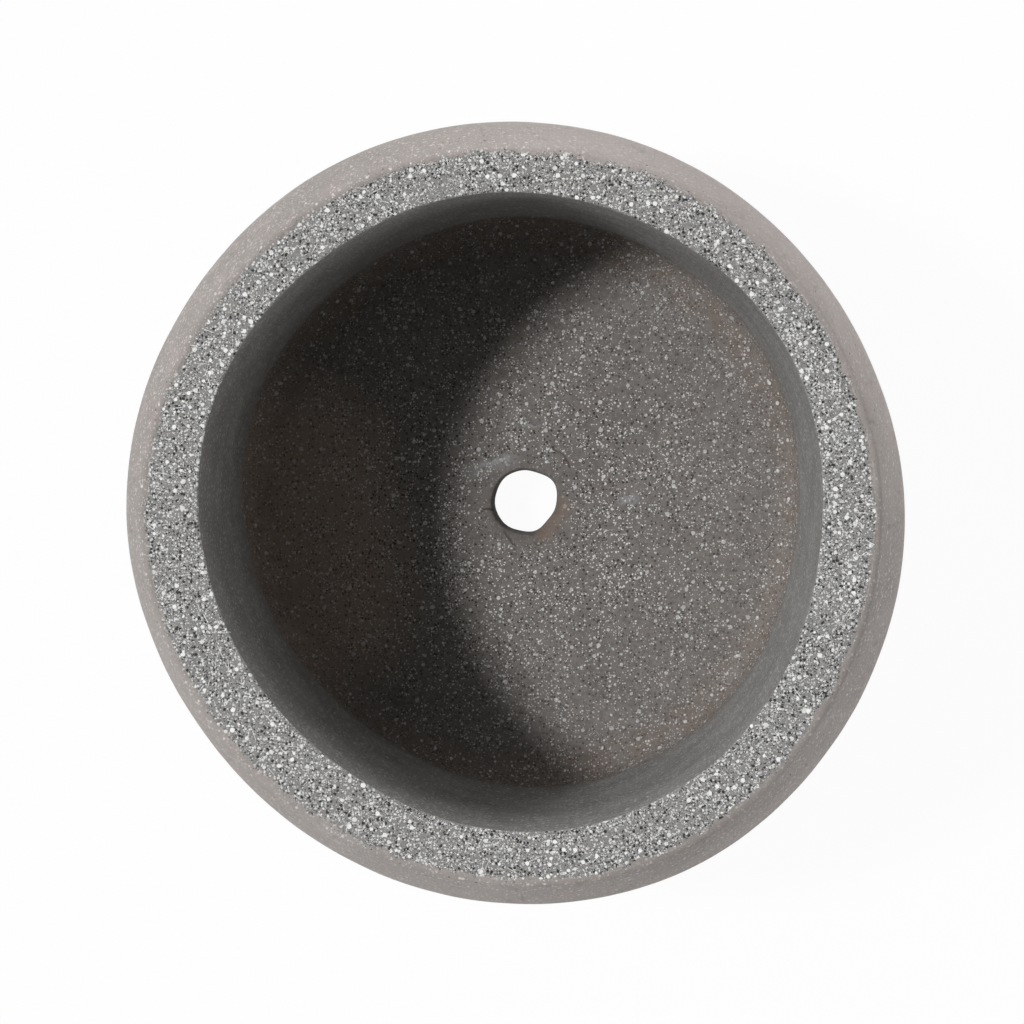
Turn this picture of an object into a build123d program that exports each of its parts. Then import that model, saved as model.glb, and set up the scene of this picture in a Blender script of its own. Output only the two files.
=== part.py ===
from build123d import *
from math import radians, sqrt, tan
import os

# A round-bellied planter cast in one piece of fibre-reinforced stone mix. It stands on four rubber pads.
# Lengths are millimetres. The origin is the middle of the footprint, on the ground, and Z points up.

# Outer wall: a ball of this radius, cut flat above for the rim and below for the foot
belly_radius = 200.0
belly_below_rim = 85.0
foot_bevel = 4.0

# Rim: a flat ring, ground after casting, with a softly rounded outer edge and a crisp inner one
rim_width = 26.0
rim_outer_arris = 4.0
rim_inner_bevel = 0.8

# Cavity: a plain round core leaves it, slightly wider above so that the core pulls out
cavity_depth = 190.0
cavity_draft_degrees = 1.5
floor_cove = 15.0
floor_thickness = 28.0

# Drain hole through the middle of the floor
drain_radius = 17.0
drain_bevel = 1.5

# Underside: a shallow panel with a sloping side leaves a flat foot ring round the drain hole
foot_ring_width = 44.0
panel_depth = 5.0
panel_slope_width = 4.0

# Rubber pads: squares with cut corners, glued to the middle of the foot ring
pad_count = 4
pad_first_degrees = 45.0
pad_side = 28.0
pad_corner_cut = 4.0
pad_thickness = 3.0

# Levels above the ground
foot_level = pad_thickness
panel_level = foot_level + panel_depth
floor_level = foot_level + floor_thickness
rim_level = floor_level + cavity_depth
belly_level = rim_level - belly_below_rim

# Radii that follow from the sizes above
full_turn = 360.0
rim_radius = sqrt(belly_radius ** 2 - belly_below_rim ** 2)
mouth_radius = rim_radius - rim_width
floor_radius = mouth_radius - cavity_depth * tan(radians(cavity_draft_degrees))
foot_radius = sqrt(belly_radius ** 2 - (belly_level - foot_level) ** 2)
panel_radius = foot_radius - foot_ring_width
pad_circle_radius = foot_radius - foot_ring_width / 2


def wall_section():
    """The cut face of the pot from the drain hole outwards, with its edges rounded or bevelled."""
    hole_below = (drain_radius, panel_level)
    panel_corner = (panel_radius - panel_slope_width, panel_level)
    ring_inner_edge = (panel_radius, foot_level)
    foot_edge = (foot_radius, foot_level)
    belly = (belly_radius, belly_level)
    rim_outer_edge = (rim_radius, rim_level)
    rim_inner_edge = (mouth_radius, rim_level)
    floor_corner = (floor_radius, floor_level)
    hole_above = (drain_radius, floor_level)
    rounded = [
        (rim_outer_edge, rim_outer_arris),
        (floor_corner, floor_cove),
    ]
    bevelled = [
        (foot_edge, foot_bevel),
        (rim_inner_edge, rim_inner_bevel),
        (hole_above, drain_bevel),
    ]
    with BuildSketch(Plane.XZ) as section:
        with BuildLine():
            Polyline(hole_below, panel_corner, ring_inner_edge, foot_edge)
            ThreePointArc(foot_edge, belly, rim_outer_edge)
            Polyline(rim_outer_edge, rim_inner_edge, floor_corner, hole_above, hole_below)
        make_face()
        for corner, radius in rounded:
            fillet(section.vertices().sort_by_distance(Vector(*corner))[0], radius)
        for corner, width in bevelled:
            chamfer(section.vertices().sort_by_distance(Vector(*corner))[0], width)
    return section.sketch


def cast_body():
    """The pot: its section turned once round the Z axis."""
    return revolve(wall_section(), axis=Axis.Z, revolution_arc=full_turn)


def foot_pad(place):
    """One piece of rubber sheet, from the ground up to the foot ring, square to the pot's radius."""
    with BuildPart(place) as pad:
        Box(pad_side, pad_side, pad_thickness, align=(Align.CENTER, Align.CENTER, Align.MIN))
        chamfer(pad.edges().filter_by(Axis.Z), pad_corner_cut)
    return pad.part


def write_parts():
    """One STEP file per piece, named after it."""
    os.makedirs("parts", exist_ok=True)
    export_step(cast_body(), "parts/planter_body.step")
    places = PolarLocations(pad_circle_radius, pad_count, start_angle=pad_first_degrees)
    for number, place in enumerate(places, start=1):
        export_step(foot_pad(place), f"parts/foot_pad_{number}.step")


write_parts()
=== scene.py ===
import bpy
import numpy as np
import random
from collections import namedtuple
from math import atan2, ceil, cos, degrees, hypot, pi, radians, sin, sqrt, tan
from mathutils import Matrix, Vector


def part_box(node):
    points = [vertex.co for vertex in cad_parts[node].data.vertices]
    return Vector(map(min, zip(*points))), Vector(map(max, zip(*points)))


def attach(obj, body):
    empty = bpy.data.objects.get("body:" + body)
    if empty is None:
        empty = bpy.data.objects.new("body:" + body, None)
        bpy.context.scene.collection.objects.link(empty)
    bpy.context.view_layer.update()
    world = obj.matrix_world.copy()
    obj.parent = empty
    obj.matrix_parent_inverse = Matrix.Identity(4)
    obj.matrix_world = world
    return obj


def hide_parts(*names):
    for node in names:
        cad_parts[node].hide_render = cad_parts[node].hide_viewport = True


# The pot is one casting. It is shown as three closed shells that meet inside the wall, because its three
# kinds of surface differ: the ground rim, the moulded outside and the cored inside. The rubber pads are
# the frame's own. Lengths are metres, angles are degrees, colours are written as they look on a screen.
# Z points up.
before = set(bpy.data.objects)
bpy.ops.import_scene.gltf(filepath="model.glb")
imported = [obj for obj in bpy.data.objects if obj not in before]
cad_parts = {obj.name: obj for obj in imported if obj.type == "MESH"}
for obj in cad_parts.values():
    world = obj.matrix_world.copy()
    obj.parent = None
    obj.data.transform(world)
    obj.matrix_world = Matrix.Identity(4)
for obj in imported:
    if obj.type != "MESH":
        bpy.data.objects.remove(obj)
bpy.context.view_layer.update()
pot_low, pot_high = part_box("planter_body")
MM = 0.001

# Levels above the ground
foot_level = pot_low.z
rim_level = pot_high.z - 0.1 * MM
belly_level = 136 * MM
floor_level = 31 * MM
panel_level = 8 * MM

# Outside of the wall: two arcs that meet at the belly, a rounded arris above and a bevelled foot below
belly_radius = 197.8 * MM
upper_arc_radius = 225 * MM
foot_radius = 148.6 * MM
rim_arris = 3.5 * MM
foot_bevel = 4 * MM

# Underside: the flat foot ring and the shallow panel inside it
panel_radius = 105.4 * MM
panel_slope = 4 * MM

# Inside of the wall, as the core left it
mouth_radius = 154.9 * MM
mouth_bevel = 0.7 * MM
core_draft = 1.5
floor_cove = 14 * MM
hole_radius = 16.85 * MM
hole_bevel = 1.4 * MM

# Where the three shells meet inside the wall
slab_thickness = 4 * MM
slab_taper = 2.5 * MM
core_of_wall = 176 * MM
core_of_floor = 17 * MM
core_corner = core_of_wall - 30 * MM
core_by_hole = 2 * hole_radius

# Waves round the pot: how many, how high in millimetres, and the direction of a crest
core_waves = [(1, 2.4, 80), (2, 2.1, -67), (3, 1.85, 47.5), (4, 0.35, 22), (5, 0.45, 27), (6, 0.45, -28)]
mould_waves = [(1, 1.05, -116), (2, 2.4, -55), (3, 0.7, 54), (4, 0.4, 4), (6, 0.35, -1)]
edge_waves = [(1, 0.43, -144), (2, 0.68, -52), (3, 1.44, 59), (4, 0.47, 10), (6, 0.35, -1)]
hole_waves = [(2, 0.54, 38), (3, 0.38, 29), (4, 0.3, 24.5), (6, 0.12, -20), (7, 0.16, -19)]
hole_shift = (0.6 * MM, 1.8 * MM)
lump_height = 0.5 * MM

# Where one set of waves gives way to the next: distances from the axis, and levels
core_to_mould = (mouth_radius, mouth_radius + 24 * MM)
mould_to_edge = (belly_level + 25 * MM, rim_level)
waves_grow = (30 * MM, 140 * MM)
hole_surround = (18 * MM, 30 * MM)
hole_drift = (30 * MM, 120 * MM)

# Fineness of the meshes
rim_step = 0.58 * MM
wall_step = 2.3 * MM
arris_step = wall_step / 4
underside_step = 2 * wall_step
cavity_step = 2.2 * MM
hole_step = cavity_step / 4
hidden_step = 40 * MM
weld_distance = MM / 100
smooth_angle = 35

# The flat map of each shell: strips round the pot, the share of a strip for the faces that show, its border
wall_strips = 2
cavity_strips = 2
rim_strips = 6
map_share = 0.94
map_border = 0.005

# Glass strands laid open in the rim
strand_count = 210
strand_seed = 5
strand_length = (1.8 * MM, 4.0 * MM, 8.5 * MM)
strand_radius = (0.14 * MM, 0.3 * MM)
strand_sides = 6
strand_proud = 0.06 * MM
strand_margin = 1.5 * MM

# Grains and pores of the stone, in millimetres: the spacing of random cells, the share of them that hold
# one, its smallest and largest radius and the softness of its edge, then its colour and how strongly the
# faintest one shows
Grain = namedtuple("Grain", "spacing share smallest largest edge colour faintest")
rim_chips = Grain(3.4, 0.55, 0.5, 1.2, 0.1, (254, 254, 253), 0.7)
rim_grains = Grain(1.5, 0.85, 0.25, 0.64, 0.08, (252, 252, 251), 0.5)
rim_sand = Grain(0.9, 0.65, 0.14, 0.36, 0.06, (240, 240, 239), 0.5)
rim_pores = Grain(1.8, 0.6, 0.3, 0.84, 0.1, (26, 25, 25), 1)
rim_pinholes = Grain(1.1, 0.6, 0.16, 0.42, 0.08, (26, 25, 25), 1)
wall_flecks = Grain(2.1, 0.6, 0.25, 0.75, 0.28, (224, 219, 215), 0)
wall_sand = Grain(1.2, 0.65, 0.17, 0.42, 0.16, (214, 209, 205), 0)
wall_pores = Grain(4.0, 0.5, 0.2, 0.6, 0.2, (90, 84, 80), 0.3)
core_flecks = Grain(2.6, 0.6, 0.25, 0.8, 0.2, (238, 238, 236), 0.1)
core_pores = Grain(3.8, 0.5, 0.2, 0.6, 0.2, (74, 72, 70), 0.3)
floor_speckle = [
    Grain(1.75, 0.9, 0.25, 0.7, 0.15, (44, 40, 38), 0.45),
    Grain(1.2, 1.0, 0.12, 0.41, 0.08, (240, 239, 237), 0.45),
    Grain(2.3, 0.85, 0.15, 0.68, 0.08, (250, 250, 249), 0.45),
    Grain(5.0, 0.9, 0.4, 1.2, 0.12, (250, 250, 249), 0.45),
]

# How grains come out ragged: the size of the pushes and how far they reach
rim_ragged = (0.8 * MM, 0.45 * MM)
fleck_ragged = (1.5 * MM, 0.4 * MM)
core_ragged = (1.2 * MM, 0.4 * MM)
floor_ragged = (0.9 * MM, 0.3 * MM)
mark_ragged = (3 * MM, 1.8 * MM)

# Soft random patches: their size in millimetres, how many finer sizes lie on them and how strong those are,
# the two levels between which a patch fades in, and its colour and strength. A shift sets one pattern apart
# from another, and a stretch below 1 draws it out.
Patch = namedtuple(
    "Patch",
    "size detail roughness low high colour strength shift stretch",
    defaults=(0, 1, None, 1, (0, 0, 0), (1, 1, 1)),
)
casting_lumps = Patch(45, 4, 0.5)

# The moulded skin, and the trowelled foot
paste_colour = (165, 158, 154)
paste_mottle = Patch(30, 5, 0.6, 0.3, 0.7, (183, 176, 172))
paste_blush = Patch(14, 4, 0.6, 0.5, 0.75, (186, 171, 169), 0.5, shift=(1, 0, 0))
paste_grit = Patch(0.9, 3, 0.7, 0.25, 0.75, (122, 116, 112), 0.32)
paste_streaks = Patch(7, 3, 0.5, 0.62, 0.75, (122, 116, 112), 0.35, stretch=(1, 1, 0.12))
foot_trowelling = Patch(9, 6, 0.65, 0.42, 0.6, (172, 167, 161), 0.7, shift=(0, 2, 0))
foot_fade = (foot_level + 5 * MM, foot_level + 14 * MM)
paste_grit_relief = 0.15
trowel_relief = 0.8
paste_roughness = 0.88

# Painted light makes the moulded skin paler on one side, and painted shade makes it browner on another: the
# direction of each
Tint = namedtuple("Tint", "colour strength")
painted_side_shading = [(55, Tint((216, 204, 200), 0.5)), (142, Tint((136, 131, 127), 0.45))]
tint_fade = (90 * MM, 210 * MM)
tint_wander = 60 * MM

# The ground face
ground_colour = (98, 97, 96)
ground_grit = Patch(0.8, 4, 0.7, 0.3, 0.7, (164, 163, 161))
ground_patches = Patch(5, 3, 0.5, 0.35, 0.65, (148, 146, 143), 0.3)
ground_relief = 0.5
ground_roughness = 0.7
pore_depth = 0.3 * MM
face_depth = 0.1 * MM

# The pores stand in crowds, and closer along the rim's outer edge on the right
pore_crowds = Patch(9, 3, 0.5, 0.35, 0.65)
fewest_pores = 0.25
edge_pores = 0.35
edge_fade = (168 * MM, 176 * MM)
right_fade = (20 * MM, 120 * MM)

# The moulded skin begins over a ragged line at the rim's outer edge, and beyond it on the right a band is
# darkened with painted shade
wear_bays = Patch(9, 2, 0.5)
wear_teeth = Patch(1.6, 2, 0.5)
wear_wobble = 3.0 * MM
wear_width = 0.5 * MM
wear_start = 0.2 * MM
painted_arris_shade = Tint((140, 134, 130), 0.5)
arris_shade_side = (0, 80 * MM)
arris_shade_band = (1 * MM, 8 * MM)
stone_relief = 0.2 * MM

# The cored skin: cool on the wall, where the core has scraped it, and warm on the floor
cool_colour = (140, 139, 137)
cool_mottle = Patch(30, 5, 0.6, 0.35, 0.65, (168, 167, 165))
core_scrapes = Patch(2.5, 3, 0.6, 0.35, 0.65, (128, 127, 125), 0.3, stretch=(1, 1, 0.1))
# Painted shade high on the left of the cavity wall
painted_wall_shade = Tint((104, 102, 99), 0.45)
shade_side = (-60 * MM, -150 * MM)
shade_height = (110 * MM, rim_level)
warm_colour = (134, 129, 125)
warm_mottle = Patch(30, 5, 0.6, 0.3, 0.7, (146, 141, 137))
floor_fade = (floor_level + 6 * MM, floor_level + 22 * MM)
core_grit = Patch(0.8, 4, 0.75, 0.3, 0.7, (100, 96, 93), 0.5)
floor_blots = Patch(3, 4, 0.75, 0.45, 0.62, (92, 87, 84), 0.5, shift=(0, 1, 0))
corner_stain = Patch(11, 5, 0.7, 0.35, 0.65, (118, 100, 86), 0.5)
corner_fade = (130 * MM, 141 * MM)
core_grit_relief = 0.3
core_roughness = 0.9

# The floor's speckle stands in crowds, and thins out up the wall, towards the corner and beside the hole
speckle_crowds = Patch(12, 3, 0.6, 0.35, 0.62, shift=(3, 0, 0))
fewest_grains = 0.35
speckle_on_wall = 0.7
speckle_at_corner = 0.6
speckle_at_hole = 0.2
thinning_out = (60 * MM, 140 * MM)
bare_ring = (19 * MM, 24 * MM)

# A darker halo and a darker ring round the drain hole, and painted shade down on the hole's wall
halo_tint = Tint((112, 106, 101), 0.4)
hole_edge_darkening = Tint((64, 56, 51), 0.7)
hole_edge_ring = (17.5 * MM, 20 * MM)
painted_hole_shade = Tint((66, 60, 56), 0.8)
hole_fade = (floor_level - 3 * MM, floor_level - 0.5 * MM)

# Marks on the cavity floor, in millimetres: two ends, half width, colour and strength
Mark = namedtuple("Mark", "start end width colour strength")
mark_softness = 3
# Painted light: a pale warm pool on the shaded floor near the left wall
painted_bounce_light = Mark((-118, 22), (-106, -52), 62.0, (196, 174, 158), 0.5)
floor_marks = [
    Mark((53, 2.5), (59, 3.0), 4.0, (176, 177, 180), 0.4),
    Mark((-25, 20), (-8, 25), 1.4, (180, 181, 184), 0.45),
    Mark((-30, 18), (-6, 24), 6.0, (158, 157, 157), 0.35),
    Mark((0, 42.5), (8, 41.5), 1.3, (182, 183, 186), 0.4),
    Mark((-7, 46), (-6.5, 30), 1.0, (170, 170, 172), 0.25),
    Mark((14, 31), (21, 27), 0.8, (74, 55, 46), 0.7),
    Mark((21, 27), (25, 20), 0.8, (74, 55, 46), 0.7),
    Mark((-22, -2), (-17, -3.5), 0.8, (52, 47, 44), 0.8),
    # Painted shade along the lower left of the drain hole's edge
    Mark((-11, -15), (-5, -22), 0.8, (60, 54, 50), 0.6),
    Mark((20, -1), (11, -15), 7.5, (150, 124, 104), 0.35),
    Mark((130, -24), (134, -18), 0.6, (48, 44, 42), 0.7),
]

# Glass and rubber
glass_dull = (214, 214, 212)
glass_bright = (250, 250, 249)
# Painted shade for the slots of fallen strands
painted_slot_shade = (52, 50, 48)
slot_groups = Patch(16, 1, 0.5, 0.36, 0.38)
glass_streaks = Patch(1.5, 2, 0.5)
glass_roughness = 0.55
glass_relief = 0.05 * MM
rubber_colour = (38, 38, 38)
rubber_dust = Patch(8, 3, 0.6, 0.45, 0.8, (98, 94, 90), 0.4, shift=(0.5, 0, 0))
rubber_grain = Patch(2, 4, 0.6)
rubber_roughness = (0.6, 0.9)
rubber_relief = 0.1 * MM

# Light: one broad lamp high on the left, in a tent with lit windows. Each window has its direction, its
# width and height, and its brightness, where 1 is white paper. The tent also glows low down, most on its
# right side.
lamp_azimuth = 172
lamp_elevation = 57
lamp_width = 8
lamp_strength = 1.98
Window = namedtuple("Window", "azimuth elevation width height brightness")
tent_windows = [
    Window(180, 45, 45, 20, 1.6),
    Window(135, 45, 45, 20, 1.3),
    Window(135, 25, 45, 20, 1.15),
    Window(0, 25, 45, 20, 1.6),
    Window(90, 7.5, 60, 15, 2.6),
    Window(270, 7.5, 45, 15, 1.3),
    Window(0, 63.5, 400, 17, 0.15),
]
window_blur = 2
tent_side = 1.0
tent_side_fade = (0.23, 0.29)

# Paper: how much of its shading shows beside the pot, and in the ring under the belly that no view from
# above meets. It lies a hair below the pads.
paper_size = 12
paper_gap = 0.2 * MM
paper_colour = (238, 238, 238)
paper_shadow = 0.04
contact_shadow = 0.6
contact_start = (30 * MM, 50 * MM)
contact_end = (165 * MM, 205 * MM)

# Camera, in the photograph's frame of 1024 pixels: its distance from the rim and its lean from upright
camera_distance = 2.0
camera_lean = (0.0315, 0.0310)
frame_pixels = 1024
pixels_per_metre = 2040.8
sensor_width = 36
aim_shift = (-0.4 * MM, 1.8 * MM)


def node(tree, kind, **settings):
    """A new node with its settings made."""
    made = tree.nodes.new(kind)
    for name, value in settings.items():
        setattr(made, name, value)
    return made


def feed(tree, socket, value):
    """Links another node's output to a socket, or writes a plain value there."""
    if isinstance(value, bpy.types.NodeSocket):
        tree.links.new(value, socket)
    else:
        socket.default_value = value


def calc(tree, operation, first, second=0.0, third=0.0, clamp=False):
    """One step of arithmetic."""
    made = node(tree, "ShaderNodeMath", operation=operation, use_clamp=clamp)
    for socket, value in zip(made.inputs, (first, second, third)):
        feed(tree, socket, value)
    return made.outputs[0]


def ramp(tree, value, low, high, from_zero=0.0, to_one=1.0, soft=False):
    """Maps low to high onto another span, and holds it beyond."""
    made = node(tree, "ShaderNodeMapRange", interpolation_type="SMOOTHSTEP" if soft else "LINEAR")
    for socket, given in zip(made.inputs, (value, low, high, from_zero, to_one)):
        feed(tree, socket, given)
    return made.outputs[0]


def blend(tree, share, first, second):
    """Mixes two colours."""
    made = node(tree, "ShaderNodeMix", data_type="RGBA")
    feed(tree, made.inputs["Factor"], share)
    feed(tree, made.inputs["A"], first)
    feed(tree, made.inputs["B"], second)
    return made.outputs["Result"]


def moved(tree, place, stretch=(1, 1, 1), shift=(0, 0, 0)):
    """A place stretched and then shifted."""
    made = node(tree, "ShaderNodeVectorMath", operation="MULTIPLY_ADD")
    feed(tree, made.inputs[0], place)
    made.inputs[1].default_value = stretch
    made.inputs[2].default_value = shift
    return made.outputs[0]


def split(tree, value):
    """The three parts of a place or a colour."""
    made = node(tree, "ShaderNodeSeparateXYZ")
    feed(tree, made.inputs[0], value)
    return made.outputs


def clouds(tree, place, kind):
    """The random field that patches of one kind are cut from, from 0 to 1."""
    made = node(tree, "ShaderNodeTexNoise", noise_dimensions="3D")
    feed(tree, made.inputs["Vector"], moved(tree, place, kind.stretch, kind.shift))
    made.inputs["Scale"].default_value = 1 / (kind.size * MM)
    made.inputs["Detail"].default_value = kind.detail
    made.inputs["Roughness"].default_value = kind.roughness
    return made.outputs["Fac"]


def patches(tree, place, kind, least=0.0, most=1.0):
    """Soft random patches of one kind."""
    return ramp(tree, clouds(tree, place, kind), kind.low, kind.high, least, most)


def warped(tree, place, size, reach):
    """A place pushed about at random, so that what is drawn there comes out ragged."""
    push = node(tree, "ShaderNodeTexNoise", noise_dimensions="3D")
    feed(tree, push.inputs["Vector"], place)
    push.inputs["Scale"].default_value = 1 / size
    push.inputs["Detail"].default_value = 1
    made = node(tree, "ShaderNodeVectorMath", operation="MULTIPLY_ADD")
    feed(tree, made.inputs[0], push.outputs["Color"])
    made.inputs[1].default_value = [2 * reach] * 3
    feed(tree, made.inputs[2], moved(tree, place, shift=[-reach] * 3))
    return made.outputs[0]


def grains(tree, place, kind, share=None):
    """Round grains in some of the random cells. Gives where they are and a random tone for each."""
    field = node(tree, "ShaderNodeTexVoronoi")
    feed(tree, field.inputs["Vector"], place)
    field.inputs["Scale"].default_value = 1 / (kind.spacing * MM)
    pick, size, tone = split(tree, field.outputs["Color"])
    reach = ramp(tree, size, 0, 1, kind.smallest / kind.spacing, kind.largest / kind.spacing)
    limit = calc(tree, "ADD", reach, kind.edge / kind.spacing)
    inside = ramp(tree, field.outputs["Distance"], reach, limit, 1, 0)
    there = calc(tree, "LESS_THAN", pick, kind.share if share is None else share)
    return calc(tree, "MULTIPLY", inside, there), tone


def from_axis(tree, place):
    """The distance of a place from the pot's axis."""
    x, y, z = split(tree, place)
    return calc(tree, "SQRT", calc(tree, "MULTIPLY_ADD", x, x, calc(tree, "MULTIPLY", y, y)))


def rim_place(tree, place):
    """A place put level with the ground face, so that pores do not move the pattern, and a ragged copy."""
    flat = moved(tree, place, (1, 1, 0), (0, 0, rim_level))
    return flat, warped(tree, flat, *rim_ragged)


def open_pores(tree, place):
    """The dark open pores of the ground face. The same pattern carves the mesh and colours it."""
    flat, ragged = rim_place(tree, place)
    by_edge = ramp(tree, from_axis(tree, flat), *edge_fade)
    on_right = ramp(tree, split(tree, flat)[0], *right_fade)
    crowded = patches(tree, flat, pore_crowds, fewest_pores, rim_pores.share)
    share = calc(tree, "MULTIPLY_ADD", calc(tree, "MULTIPLY", by_edge, on_right), edge_pores, crowded)
    pores = grains(tree, ragged, rim_pores, share)[0]
    pinholes = grains(tree, ragged, rim_pinholes)[0]
    return calc(tree, "MAXIMUM", pores, pinholes)


def srgb(colour):
    """A colour as it looks on a screen, turned into light by the screen standard's own numbers."""
    parts = [value / 255 for value in colour]
    linear = [part / 12.92 if part <= 0.04045 else ((part + 0.055) / 1.055) ** 2.4 for part in parts]
    return (*linear, 1)


def line(start, end, step):
    """Points on a straight stretch of an outline, without its start."""
    (x0, z0), (x1, z1) = start, end
    count = max(1, ceil(hypot(x1 - x0, z1 - z0) / step))
    return [(x0 + (x1 - x0) * i / count, z0 + (z1 - z0) * i / count) for i in range(1, count + 1)]


def arc(centre, radius, first, last, step):
    """Points on an arc of an outline, without its start. Directions are degrees from +X towards +Z."""
    count = max(2, ceil(radius * abs(radians(last - first)) / step))
    turns = [radians(first + (last - first) * i / count) for i in range(1, count + 1)]
    return [(centre[0] + radius * cos(turn), centre[1] + radius * sin(turn)) for turn in turns]


def turned(name, points, step):
    """A closed outline in the XZ plane, drawn point by point and spun round the Z axis."""
    bpy.ops.object.select_all(action="DESELECT")
    bpy.ops.mesh.primitive_circle_add(vertices=3, radius=MM)
    piece = bpy.context.object
    piece.name = name
    bpy.ops.object.mode_set(mode="EDIT")
    bpy.ops.mesh.select_all(action="SELECT")
    bpy.ops.mesh.merge(type="CENTER")
    bpy.ops.transform.translate(value=(points[0][0], 0, points[0][1]))
    for (x0, z0), (x1, z1) in zip(points, points[1:] + points[:1]):
        bpy.ops.mesh.extrude_region_move(TRANSFORM_OT_translate={"value": (x1 - x0, 0, z1 - z0)})
    bpy.ops.object.mode_set(mode="OBJECT")
    mark_length(piece)
    widest = max(x for x, z in points)
    turn = piece.modifiers.new("turn", "SCREW")
    turn.angle = 2 * pi
    turn.steps = ceil(2 * pi * widest / step)
    turn.render_steps = turn.steps
    bpy.ops.object.modifier_apply(modifier=turn.name)
    return piece


def mark_length(piece):
    """Writes the distance along the outline on each of its points."""
    corners = np.array([vertex.co for vertex in piece.data.vertices])
    steps = np.linalg.norm(np.diff(corners, axis=0), axis=1)
    length = piece.data.attributes.new("along", "FLOAT", "POINT")
    length.data.foreach_set("value", np.concatenate([[0], np.cumsum(steps)]).astype(np.float32))


def close_seams(piece):
    """Merges the points where the turn and the outline meet themselves, and turns all faces outwards."""
    bpy.ops.object.select_all(action="DESELECT")
    piece.select_set(True)
    bpy.context.view_layer.objects.active = piece
    bpy.ops.object.mode_set(mode="EDIT")
    bpy.ops.mesh.select_all(action="SELECT")
    bpy.ops.mesh.remove_doubles(threshold=weld_distance)
    bpy.ops.mesh.normals_make_consistent(inside=False)
    bpy.ops.object.mode_set(mode="OBJECT")


def unroll(piece, shown_length, strips):
    """A flat map of the piece in strips side by side. The hidden faces share a thin band of each strip."""
    mesh = piece.data
    corner = np.zeros(len(mesh.loops), np.int32)
    mesh.loops.foreach_get("vertex_index", corner)
    places = np.zeros(3 * len(mesh.vertices), np.float32)
    mesh.vertices.foreach_get("co", places)
    places = places.reshape(-1, 3)
    along = np.zeros(len(mesh.vertices), np.float32)
    mesh.attributes["along"].data.foreach_get("value", along)
    turn = np.arctan2(places[:, 1], places[:, 0])[corner].reshape(-1, 4)
    first = turn[:, :1]
    turn = first + (turn - first + pi) % (2 * pi) - pi
    centre = turn.mean(axis=1, keepdims=True)
    shift = np.floor(centre / (2 * pi)) * 2 * pi
    turn, centre = (turn - shift) / (2 * pi) * strips, (centre - shift) / (2 * pi) * strips
    strip = np.floor(centre).clip(0, strips - 1)
    length = along[corner].reshape(-1, 4)
    shown = np.minimum(length / shown_length, 1) * map_share
    hidden = np.maximum(length - shown_length, 0) / max(along.max() - shown_length, MM) * (1 - map_share)
    across = map_border + (1 - 2 * map_border) * (shown + hidden)
    layer = mesh.uv_layers.new(name="OFBake")
    spots = np.stack([turn - strip, (strip + across) / strips], axis=-1)
    layer.uv.foreach_set("vector", spots.astype(np.float32).ravel())


def apply_nodes(piece, tree):
    """Runs a node tree on a mesh and keeps its result."""
    bpy.context.view_layer.objects.active = piece
    modifier = piece.modifiers.new(tree.name, "NODES")
    modifier.node_group = tree
    bpy.ops.object.modifier_apply(modifier=modifier.name)


def shape_tree(name):
    """An empty node tree for meshes. Gives the tree, its incoming mesh and the place of its points."""
    tree = bpy.data.node_groups.new(name, "GeometryNodeTree")
    tree.interface.new_socket(name="Mesh", in_out="INPUT", socket_type="NodeSocketGeometry")
    tree.interface.new_socket(name="Mesh", in_out="OUTPUT", socket_type="NodeSocketGeometry")
    entry = node(tree, "NodeGroupInput")
    place = node(tree, "GeometryNodeInputPosition")
    return tree, entry.outputs[0], place.outputs[0]


def finish_shape(tree, mesh, offset):
    """Moves the points of the incoming mesh by an offset."""
    mover = node(tree, "GeometryNodeSetPosition")
    feed(tree, mover.inputs["Geometry"], mesh)
    feed(tree, mover.inputs["Offset"], offset)
    leave = node(tree, "NodeGroupOutput")
    feed(tree, leave.inputs[0], mover.outputs[0])
    return tree


def wave_sum(tree, azimuth, waves):
    """Adds up waves round the pot."""
    total = 0.0
    for count, height, crest in waves:
        turn = calc(tree, "MULTIPLY", calc(tree, "SUBTRACT", azimuth, radians(crest)), count)
        total = calc(tree, "MULTIPLY_ADD", calc(tree, "COSINE", turn), height * MM, total)
    return total


def between(tree, share, first, second):
    """A value on the way from one to another."""
    return calc(tree, "MULTIPLY_ADD", calc(tree, "SUBTRACT", second, first), share, first)


def uneven_casting():
    """No cast pot is quite round: the core, the mould and the rim have their own waves, and there are lumps."""
    tree, mesh, place = shape_tree("uneven_casting")
    x, y, z = split(tree, place)
    radius = from_axis(tree, place)
    azimuth = calc(tree, "ARCTAN2", y, x)
    from_core = wave_sum(tree, azimuth, core_waves)
    from_mould = wave_sum(tree, azimuth, mould_waves)
    from_edge = wave_sum(tree, azimuth, edge_waves)
    outside = between(tree, ramp(tree, z, *mould_to_edge, soft=True), from_mould, from_edge)
    waves = between(tree, ramp(tree, radius, *core_to_mould, soft=True), from_core, outside)
    waves = calc(tree, "MULTIPLY", waves, ramp(tree, radius, *waves_grow, soft=True))
    lumps = calc(tree, "SUBTRACT", clouds(tree, place, casting_lumps), 0.5)
    lumps = calc(tree, "MULTIPLY", lumps, 2 * lump_height)
    by_hole = ramp(tree, radius, *hole_surround, 1, 0, soft=True)
    reach = calc(tree, "ADD", waves, lumps)
    reach = calc(tree, "MULTIPLY_ADD", wave_sum(tree, azimuth, hole_waves), by_hole, reach)
    near_hole = ramp(tree, radius, *hole_drift, 1, 0, soft=True)
    offset = node(tree, "ShaderNodeCombineXYZ")
    for axis, turn, shift in ((0, "COSINE", hole_shift[0]), (1, "SINE", hole_shift[1])):
        outward = calc(tree, "MULTIPLY", reach, calc(tree, turn, azimuth))
        feed(tree, offset.inputs[axis], calc(tree, "MULTIPLY_ADD", near_hole, shift, outward))
    return finish_shape(tree, mesh, offset.outputs[0])


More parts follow.
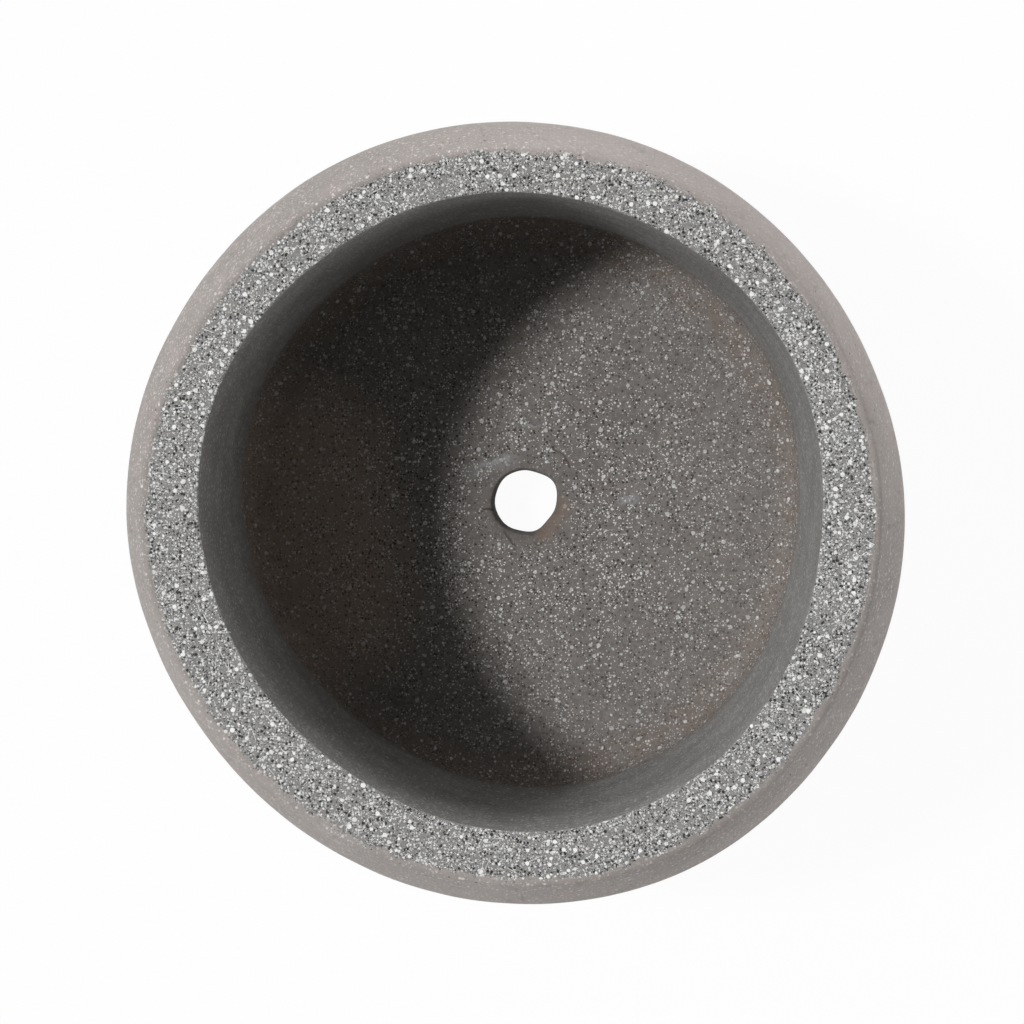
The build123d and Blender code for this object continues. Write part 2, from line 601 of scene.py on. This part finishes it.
def carved_pores():
    """Carves the open pores of the ground face into its mesh."""
    tree, mesh, place = shape_tree("carved_pores")
    height = split(tree, place)[2]
    on_face = calc(tree, "GREATER_THAN", height, rim_level - face_depth)
    depth = calc(tree, "MULTIPLY", open_pores(tree, place), -pore_depth)
    offset = node(tree, "ShaderNodeCombineXYZ")
    feed(tree, offset.inputs[2], calc(tree, "MULTIPLY", depth, on_face))
    return finish_shape(tree, mesh, offset.outputs[0])


def outside_points():
    """The outline of the outer shell: arris, belly, foot and underside, then back inside the wall."""
    upper_centre = (belly_radius - upper_arc_radius, belly_level)
    rise = rim_level - rim_arris - belly_level
    run = sqrt((upper_arc_radius - rim_arris) ** 2 - rise ** 2)
    arris_centre = (upper_centre[0] + run, rim_level - rim_arris)
    meeting = degrees(atan2(rise, run))
    drop = belly_level - foot_level
    inset = belly_radius - foot_radius
    lower_arc_radius = (inset ** 2 + drop ** 2) / (2 * inset)
    lower_centre = (belly_radius - lower_arc_radius, belly_level)
    fall = drop - foot_bevel
    lowest = -degrees(atan2(fall, sqrt(lower_arc_radius ** 2 - fall ** 2)))
    start = (arris_centre[0], rim_level)
    points = [start]
    points += arc(arris_centre, rim_arris, 90, meeting, arris_step)
    points += arc(upper_centre, upper_arc_radius, meeting, 0, wall_step)
    points += arc(lower_centre, lower_arc_radius, 0, lowest, wall_step)
    points += line(points[-1], (foot_radius - foot_bevel, foot_level), wall_step)
    points += line(points[-1], (panel_radius, foot_level), underside_step)
    points += line(points[-1], (panel_radius - panel_slope, panel_level), wall_step)
    points += line(points[-1], (hole_radius, panel_level), underside_step)
    shown = len(points)
    points += way_inside(points[-1], start)
    points += line(points[-1], (start[0] - slab_taper, rim_level - slab_thickness), hidden_step)
    return points, shown


def slab_middle(rim_edge):
    """The middle of the slab's underside."""
    return ((mouth_radius + rim_edge[0]) / 2, rim_level - slab_thickness)


def way_inside(hole_edge, rim_edge):
    """The hidden way inside the casting, from drain hole to slab, that the two larger shells share."""
    points = line(hole_edge, (core_by_hole, core_of_floor), hidden_step)
    points += line(points[-1], (core_corner, core_of_floor), hidden_step)
    points += line(points[-1], (core_of_wall, belly_level), hidden_step)
    points += line(points[-1], slab_middle(rim_edge), hidden_step)
    return points


def inside_points(rim_edge):
    """The outline of the inner shell: wall, cove, floor and drain hole, then back inside the wall."""
    top = (mouth_radius, rim_level - mouth_bevel)
    draft = radians(core_draft)
    floor_radius = mouth_radius - (rim_level - floor_level) * tan(draft)
    reach = floor_cove / tan((pi / 2 + draft) / 2)
    cove_centre = (floor_radius - reach, floor_level + floor_cove)
    wall_end = (floor_radius + reach * sin(draft), floor_level + reach * cos(draft))
    points = [top]
    points += line(top, wall_end, cavity_step)
    points += arc(cove_centre, floor_cove, -core_draft, -90, cavity_step)
    points += line(points[-1], (hole_radius + hole_bevel, floor_level), cavity_step)
    points += line(points[-1], (hole_radius, floor_level - hole_bevel), hole_step)
    points += line(points[-1], (hole_radius, panel_level), cavity_step)
    shown = len(points)
    points += way_inside(points[-1], rim_edge)
    points += line(points[-1], (mouth_radius + slab_taper, rim_level - slab_thickness), hidden_step)
    return points, shown


def rim_points(rim_edge):
    """The outline of the ground slab: bevel and flat face, then its hidden underside."""
    top = (mouth_radius, rim_level - mouth_bevel)
    points = [top]
    points += line(top, (mouth_radius + mouth_bevel, rim_level), rim_step)
    points += line(points[-1], rim_edge, rim_step)
    shown = len(points)
    points += line(points[-1], (rim_edge[0] - slab_taper, rim_level - slab_thickness), hidden_step)
    points += line(points[-1], slab_middle(rim_edge), hidden_step)
    points += line(points[-1], (mouth_radius + slab_taper, rim_level - slab_thickness), hidden_step)
    return points, shown


def shown_length(outline):
    """How long the part of an outline is that shows."""
    points, shown = outline
    return sum(hypot(b[0] - a[0], b[1] - a[1]) for a, b in zip(points[:shown], points[1:shown]))


def shell(name, outline, step, strips, uneven):
    """One of the three shells of the casting."""
    piece = turned(name, outline[0], step)
    unroll(piece, shown_length(outline), strips)
    close_seams(piece)
    apply_nodes(piece, uneven)
    return piece


def glass_strands(rim_edge, uneven):
    """Chopped glass strands that the grinding has laid open, flat in the rim and pointing anywhere."""
    chance = random.Random(strand_seed)
    shortest, usual, longest = strand_length
    bpy.ops.object.select_all(action="DESELECT")
    for number in range(strand_count):
        azimuth = chance.uniform(0, 2 * pi)
        reach = chance.uniform(mouth_radius + strand_margin, rim_edge[0] - strand_margin)
        thickness = chance.uniform(*strand_radius)
        bpy.ops.mesh.primitive_cylinder_add(
            vertices=strand_sides,
            radius=thickness,
            depth=chance.triangular(shortest, longest, usual),
            location=(reach * cos(azimuth), reach * sin(azimuth), rim_level + strand_proud - thickness),
            rotation=(pi / 2, 0, chance.uniform(0, pi)),
        )
        if number == 0:
            piece = bpy.context.object
            bpy.ops.object.transform_apply(location=True, rotation=True, scale=True)
            bpy.ops.object.mode_set(mode="EDIT")
    bpy.ops.object.mode_set(mode="OBJECT")
    piece.name = "glass_strands"
    apply_nodes(piece, uneven)
    return piece


def stone_shader(name):
    """A material with its shader, and the object's own coordinates."""
    material = bpy.data.materials.new(name)
    material.use_nodes = True
    tree = material.node_tree
    shader = tree.nodes["Principled BSDF"]
    place = node(tree, "ShaderNodeTexCoord").outputs["Object"]
    return material, tree, shader, place


def relief(tree, shader, height, depth):
    """Fine relief of the surface, in metres."""
    made = node(tree, "ShaderNodeBump")
    made.inputs["Distance"].default_value = depth
    feed(tree, made.inputs["Height"], height)
    feed(tree, shader.inputs["Normal"], made.outputs[0])


def paint(tree, under, over, mask):
    """Lays the colour of a tint, patch or mark over another where a mask says, at its own strength."""
    share = calc(tree, "MULTIPLY", mask, over.strength, clamp=True)
    return blend(tree, share, under, srgb(over.colour))


def cover(tree, under, place, kind):
    """Lays patches of one kind over a colour."""
    return paint(tree, under, kind, patches(tree, place, kind))


def sprinkle(tree, under, place, kind, share=None, showing=1.0):
    """Lays grains of one kind over a colour, some fainter than others."""
    spots, tone = grains(tree, place, kind, share)
    there = calc(tree, "MULTIPLY", spots, ramp(tree, tone, 0, 1, kind.faintest, 1))
    return blend(tree, calc(tree, "MULTIPLY", there, showing, clamp=True), under, srgb(kind.colour))


def one_side(tree, place, azimuth, mottle):
    """A soft mask for the side of the pot that faces a direction, with a wandering border."""
    x, y, z = split(tree, place)
    crosswise = calc(tree, "MULTIPLY", y, sin(radians(azimuth)))
    towards = calc(tree, "MULTIPLY_ADD", x, cos(radians(azimuth)), crosswise)
    return ramp(tree, calc(tree, "MULTIPLY_ADD", mottle, tint_wander, towards), *tint_fade, soft=True)


def moulded_finish(tree, place):
    """The skin from the mould: smooth warm paste with pale flecks just under it. Gives colour and relief."""
    mottle = clouds(tree, place, paste_mottle)
    colour = cover(tree, srgb(paste_colour), place, paste_mottle)
    # Painted light on one side of the wall and painted shade on another
    for azimuth, tint in painted_side_shading:
        colour = paint(tree, colour, tint, one_side(tree, place, azimuth, mottle))
    colour = cover(tree, colour, place, paste_blush)
    colour = cover(tree, colour, place, paste_grit)
    colour = sprinkle(tree, colour, warped(tree, place, *fleck_ragged), wall_flecks)
    colour = sprinkle(tree, colour, place, wall_sand)
    colour = sprinkle(tree, colour, place, wall_pores)
    colour = cover(tree, colour, place, paste_streaks)
    below = ramp(tree, split(tree, place)[2], *foot_fade, 1, 0, soft=True)
    trowelled = calc(tree, "MULTIPLY", patches(tree, place, foot_trowelling), below)
    colour = paint(tree, colour, foot_trowelling, trowelled)
    height = calc(tree, "MULTIPLY_ADD", clouds(tree, place, paste_grit), paste_grit_relief, mottle)
    return colour, calc(tree, "MULTIPLY_ADD", trowelled, trowel_relief, height)


def ground_finish(tree, place):
    """The ground face: white chips, grains and sand cut open, among dark pores. Gives colour and relief."""
    flat, ragged = rim_place(tree, place)
    colour = cover(tree, srgb(ground_colour), flat, ground_grit)
    colour = cover(tree, colour, flat, ground_patches)
    colour = sprinkle(tree, colour, ragged, rim_sand)
    colour = blend(tree, open_pores(tree, place), colour, srgb(rim_pores.colour))
    colour = sprinkle(tree, colour, ragged, rim_grains)
    colour = sprinkle(tree, colour, ragged, rim_chips)
    return colour, clouds(tree, flat, ground_grit)


def worn_and_shaded_edge(tree, place, beyond):
    """The stone on both sides of the rim's outer edge, given how far beyond it a place lies."""
    moulded, moulded_height = moulded_finish(tree, place)
    ground, ground_height = ground_finish(tree, place)
    # Painted shade: a band just beyond the edge, on the right side only
    on_right = ramp(tree, split(tree, place)[0], *arris_shade_side)
    arris_shaded = calc(tree, "MULTIPLY", ramp(tree, beyond, *arris_shade_band, 1, 0, soft=True), on_right)
    moulded = paint(tree, moulded, painted_arris_shade, arris_shaded)
    wobble = calc(tree, "ADD", clouds(tree, place, wear_bays), clouds(tree, place, wear_teeth))
    line_of_wear = calc(tree, "MULTIPLY_ADD", calc(tree, "SUBTRACT", wobble, 1), 2 * wear_wobble, beyond)
    share = ramp(tree, line_of_wear, wear_start - wear_width, wear_start + wear_width, soft=True)
    height = calc(tree, "MULTIPLY_ADD", ground_height, ground_relief, moulded_height)
    roughness = ramp(tree, share, 0, 1, ground_roughness, paste_roughness)
    return blend(tree, share, ground, moulded), height, roughness


def along_outline(tree):
    """How far a place lies along its shell's outline."""
    return node(tree, "ShaderNodeAttribute", attribute_name="along").outputs["Fac"]


def edge_stone(name, outline_edge):
    """A material of the rim or the wall, given where on the shell's outline the rim's outer edge lies."""
    material, tree, shader, place = stone_shader(name)
    beyond = calc(tree, "SUBTRACT", along_outline(tree), outline_edge)
    colour, height, roughness = worn_and_shaded_edge(tree, place, beyond)
    feed(tree, shader.inputs["Base Color"], colour)
    feed(tree, shader.inputs["Roughness"], roughness)
    relief(tree, shader, height, stone_relief)
    return material


def stroke(tree, place, mark):
    """A soft mask round the line between a mark's two ends, on the cavity floor."""
    x, y, z = split(tree, place)
    (x0, y0), (x1, y1) = [[part * MM for part in end] for end in (mark.start, mark.end)]
    run, rise = x1 - x0, y1 - y0
    from_x, from_y = calc(tree, "SUBTRACT", x, x0), calc(tree, "SUBTRACT", y, y0)
    dot = calc(tree, "MULTIPLY_ADD", from_x, run, calc(tree, "MULTIPLY", from_y, rise))
    share = calc(tree, "DIVIDE", dot, run ** 2 + rise ** 2, clamp=True)
    off_x = calc(tree, "MULTIPLY_ADD", share, -run, from_x)
    off_y = calc(tree, "MULTIPLY_ADD", share, -rise, from_y)
    away = calc(tree, "SQRT", calc(tree, "MULTIPLY_ADD", off_x, off_x, calc(tree, "MULTIPLY", off_y, off_y)))
    return ramp(tree, away, mark.width * MM / mark_softness, mark.width * MM, 1, 0, soft=True)


def cool_skin(tree, place):
    """The colour of the cavity's wall, scraped upwards by the core, with painted shade high on the left."""
    x, y, height = split(tree, place)
    colour = cover(tree, srgb(cool_colour), place, cool_mottle)
    colour = cover(tree, colour, place, core_scrapes)
    colour = sprinkle(tree, colour, warped(tree, place, *core_ragged), core_flecks)
    colour = sprinkle(tree, colour, place, core_pores)
    # Painted shade on the upper left of the wall
    upper_left = calc(tree, "MULTIPLY", ramp(tree, x, *shade_side), ramp(tree, height, *shade_height))
    return paint(tree, colour, painted_wall_shade, upper_left)


def speckled(tree, colour, place, on_floor):
    """Lays the floor's pores, sand, grains and chips over a colour."""
    radius = from_axis(tree, place)
    beside_hole = ramp(tree, radius, *bare_ring, speckle_at_hole, 1)
    towards_corner = ramp(tree, radius, *thinning_out, 1, speckle_at_corner)
    clear = calc(tree, "MULTIPLY", beside_hole, towards_corner)
    showing = calc(tree, "MULTIPLY", ramp(tree, on_floor, 0, 1, speckle_on_wall, 1), clear)
    crowded = patches(tree, place, speckle_crowds, fewest_grains)
    ragged = warped(tree, place, *floor_ragged)
    for kind in floor_speckle:
        colour = sprinkle(tree, colour, ragged, kind, calc(tree, "MULTIPLY", crowded, kind.share), showing)
    return colour


def cored_finish(tree, place):
    """The skin from the core: cooler on the wall, warmer and full of round grains on the floor."""
    height = split(tree, place)[2]
    radius = from_axis(tree, place)
    on_floor = ramp(tree, height, *floor_fade, 1, 0, soft=True)
    warm = cover(tree, srgb(warm_colour), place, warm_mottle)
    colour = blend(tree, on_floor, cool_skin(tree, place), warm)
    colour = cover(tree, colour, place, core_grit)
    blotted = calc(tree, "MULTIPLY", patches(tree, place, floor_blots), on_floor)
    colour = paint(tree, colour, floor_blots, blotted)
    # Painted light on the shaded floor near the left wall
    bounce_lit = calc(tree, "MULTIPLY", stroke(tree, place, painted_bounce_light), on_floor)
    colour = paint(tree, colour, painted_bounce_light, bounce_lit)
    corner = calc(tree, "MULTIPLY", on_floor, ramp(tree, radius, *corner_fade, soft=True))
    cloudy = patches(tree, place, corner_stain)
    colour = paint(tree, colour, corner_stain, calc(tree, "MULTIPLY", corner, cloudy))
    colour = speckled(tree, colour, place, on_floor)
    colour = paint(tree, colour, halo_tint, ramp(tree, radius, *hole_surround, 1, 0, soft=True))
    # A darker ring in patches round the hole's edge
    edge_darkened = calc(tree, "MULTIPLY", ramp(tree, radius, *hole_edge_ring, 1, 0), cloudy)
    colour = paint(tree, colour, hole_edge_darkening, edge_darkened)
    smudged = warped(tree, place, *mark_ragged)
    for mark in floor_marks:
        colour = paint(tree, colour, mark, stroke(tree, smudged, mark))
    # Painted shade down the drain hole's wall
    colour = paint(tree, colour, painted_hole_shade, ramp(tree, height, *hole_fade, 1, 0))
    grit, mottle = clouds(tree, place, core_grit), clouds(tree, place, warm_mottle)
    return colour, calc(tree, "MULTIPLY_ADD", grit, core_grit_relief, mottle)


def cored_stone():
    """The inside of the pot."""
    material, tree, shader, place = stone_shader("cored_stone")
    colour, height = cored_finish(tree, place)
    feed(tree, shader.inputs["Base Color"], colour)
    shader.inputs["Roughness"].default_value = core_roughness
    relief(tree, shader, height, stone_relief)
    return material


def strand_glass():
    """White chopped glass. A few strands have fallen out, and their slots are drawn as dark strands in painted
    shade.
    """
    material, tree, shader, place = stone_shader("strand_glass")
    streaks = clouds(tree, place, glass_streaks)
    colour = blend(tree, streaks, srgb(glass_dull), srgb(glass_bright))
    # Painted shade where strands stand for empty slots
    colour = blend(tree, patches(tree, place, slot_groups, 1, 0), colour, srgb(painted_slot_shade))
    feed(tree, shader.inputs["Base Color"], colour)
    shader.inputs["Roughness"].default_value = glass_roughness
    relief(tree, shader, streaks, glass_relief)
    return material


def pad_rubber():
    """Black sheet rubber, dusty and a little uneven."""
    material, tree, shader, place = stone_shader("pad_rubber")
    grain = clouds(tree, place, rubber_grain)
    feed(tree, shader.inputs["Base Color"], cover(tree, srgb(rubber_colour), place, rubber_dust))
    feed(tree, shader.inputs["Roughness"], ramp(tree, grain, 0, 1, *rubber_roughness))
    relief(tree, shader, grain, rubber_relief)
    return material


def set_camera():
    """Looks down into the pot, a little off its axis."""
    data = bpy.data.cameras.new("camera")
    camera = bpy.data.objects.new("camera", data)
    bpy.context.scene.collection.objects.link(camera)
    away = Vector((*camera_lean, 1)).normalized()
    aim = Vector((*aim_shift, pot_high.z))
    camera.location = aim + away * camera_distance
    right = Vector((0, 1, 0)).cross(away).normalized()
    camera.rotation_euler = Matrix((right, away.cross(right), away)).transposed().to_euler()
    data.sensor_width = sensor_width
    data.lens = sensor_width * pixels_per_metre * camera_distance / frame_pixels
    bpy.context.scene.camera = camera


def set_lamp():
    """The broad lamp, far away on the left."""
    data = bpy.data.lights.new("lamp", "SUN")
    data.energy = lamp_strength
    data.angle = radians(lamp_width)
    lamp = bpy.data.objects.new("lamp", data)
    bpy.context.scene.collection.objects.link(lamp)
    lamp.rotation_euler = (radians(90 - lamp_elevation), 0, radians(lamp_azimuth + 90))


def window_glow(tree, azimuth, elevation, window):
    """How brightly one window glows in a direction. Its edges are a little soft."""
    turn = calc(tree, "SUBTRACT", azimuth, radians(window.azimuth))
    turn = calc(tree, "ABSOLUTE", calc(tree, "WRAP", turn, pi, -pi))
    climb = calc(tree, "ABSOLUTE", calc(tree, "SUBTRACT", elevation, radians(window.elevation)))
    glow = window.brightness
    for angle, span in ((turn, window.width), (climb, window.height)):
        edge = ramp(tree, angle, radians(span / 2 - window_blur), radians(span / 2 + window_blur), 1, 0)
        glow = calc(tree, "MULTIPLY", glow, edge)
    return glow


def seen_plainly(tree):
    """1 where the camera, a mirror or a glass sees the surroundings, and 0 for the light they give."""
    seen = node(tree, "ShaderNodeLightPath")
    plain = calc(tree, "MAXIMUM", seen.outputs["Is Camera Ray"], seen.outputs["Is Glossy Ray"])
    return calc(tree, "MAXIMUM", plain, seen.outputs["Is Transmission Ray"])


def set_tent():
    """The surroundings: white to the camera, and a soft light that is stronger from the sides."""
    world = bpy.data.worlds.new("tent")
    bpy.context.scene.world = world
    world.use_nodes = True
    tree = world.node_tree
    backdrop = tree.nodes["Background"]
    direction = node(tree, "ShaderNodeTexCoord").outputs["Generated"]
    right, back, up = split(tree, direction)
    azimuth = calc(tree, "ARCTAN2", back, right)
    elevation = calc(tree, "ARCSINE", up)
    glow = calc(tree, "MULTIPLY", ramp(tree, right, -1, 1), ramp(tree, up, *tent_side_fade, tent_side, 0))
    for window in tent_windows:
        glow = calc(tree, "ADD", glow, window_glow(tree, azimuth, elevation, window))
    backdrop.inputs["Color"].default_value = (1, 1, 1, 1)
    feed(tree, backdrop.inputs["Strength"], between(tree, seen_plainly(tree), glow, 1.0))


def set_paper():
    """The white paper that the pot stands on. The camera sees it as white, with a faint shadow."""
    bpy.ops.object.select_all(action="DESELECT")
    bpy.ops.mesh.primitive_plane_add(size=paper_size, location=(0, 0, -paper_gap))
    paper = bpy.context.object
    paper.name = "paper"
    material = bpy.data.materials.new("white_paper")
    material.use_nodes = True
    tree = material.node_tree
    shader = tree.nodes["Principled BSDF"]
    shader.inputs["Base Color"].default_value = srgb(paper_colour)
    shader.inputs["Roughness"].default_value = 1
    shader.inputs["Specular IOR Level"].default_value = 0
    glow = node(tree, "ShaderNodeEmission")
    radius = from_axis(tree, node(tree, "ShaderNodeTexCoord").outputs["Object"])
    inner = ramp(tree, radius, *contact_start, paper_shadow, contact_shadow)
    outer = ramp(tree, radius, *contact_end, contact_shadow, paper_shadow, soft=True)
    plain = calc(tree, "SUBTRACT", 1.0, calc(tree, "MINIMUM", inner, outer))
    both = node(tree, "ShaderNodeMixShader")
    feed(tree, both.inputs[0], calc(tree, "MULTIPLY", seen_plainly(tree), plain))
    feed(tree, both.inputs[1], shader.outputs[0])
    feed(tree, both.inputs[2], glow.outputs[0])
    feed(tree, tree.nodes["Material Output"].inputs["Surface"], both.outputs[0])
    paper.data.materials.append(material)


def make_pot():
    """The three shells of the casting and the strands in its rim, each with its own finish."""
    uneven = uneven_casting()
    outside = outside_points()
    rim_edge = outside[0][0]
    wall = shell("outer_wall", outside, wall_step, wall_strips, uneven)
    cavity = shell("cavity", inside_points(rim_edge), cavity_step, cavity_strips, uneven)
    face = rim_points(rim_edge)
    rim = shell("ground_rim", face, rim_step, rim_strips, uneven)
    apply_nodes(rim, carved_pores())
    strands = glass_strands(rim_edge, uneven)
    finishes = [
        (wall, edge_stone("moulded_stone", 0)),
        (cavity, cored_stone()),
        (rim, edge_stone("ground_stone", shown_length(face))),
        (strands, strand_glass()),
    ]
    for piece, material in finishes:
        bpy.ops.object.select_all(action="DESELECT")
        piece.select_set(True)
        bpy.context.view_layer.objects.active = piece
        bpy.ops.object.shade_smooth_by_angle(angle=radians(smooth_angle))
        piece.data.materials.append(material)
        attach(piece, "root")
        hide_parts("planter_body")


def dress_pads():
    """The rubber of the four pads."""
    rubber = pad_rubber()
    for name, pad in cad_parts.items():
        if name.startswith("foot_pad"):
            pad.material_slots[0].material = rubber


make_pot()
dress_pads()
set_camera()
set_lamp()
set_tent()
set_paper()
bpy.context.scene.view_settings.view_transform = "Standard"
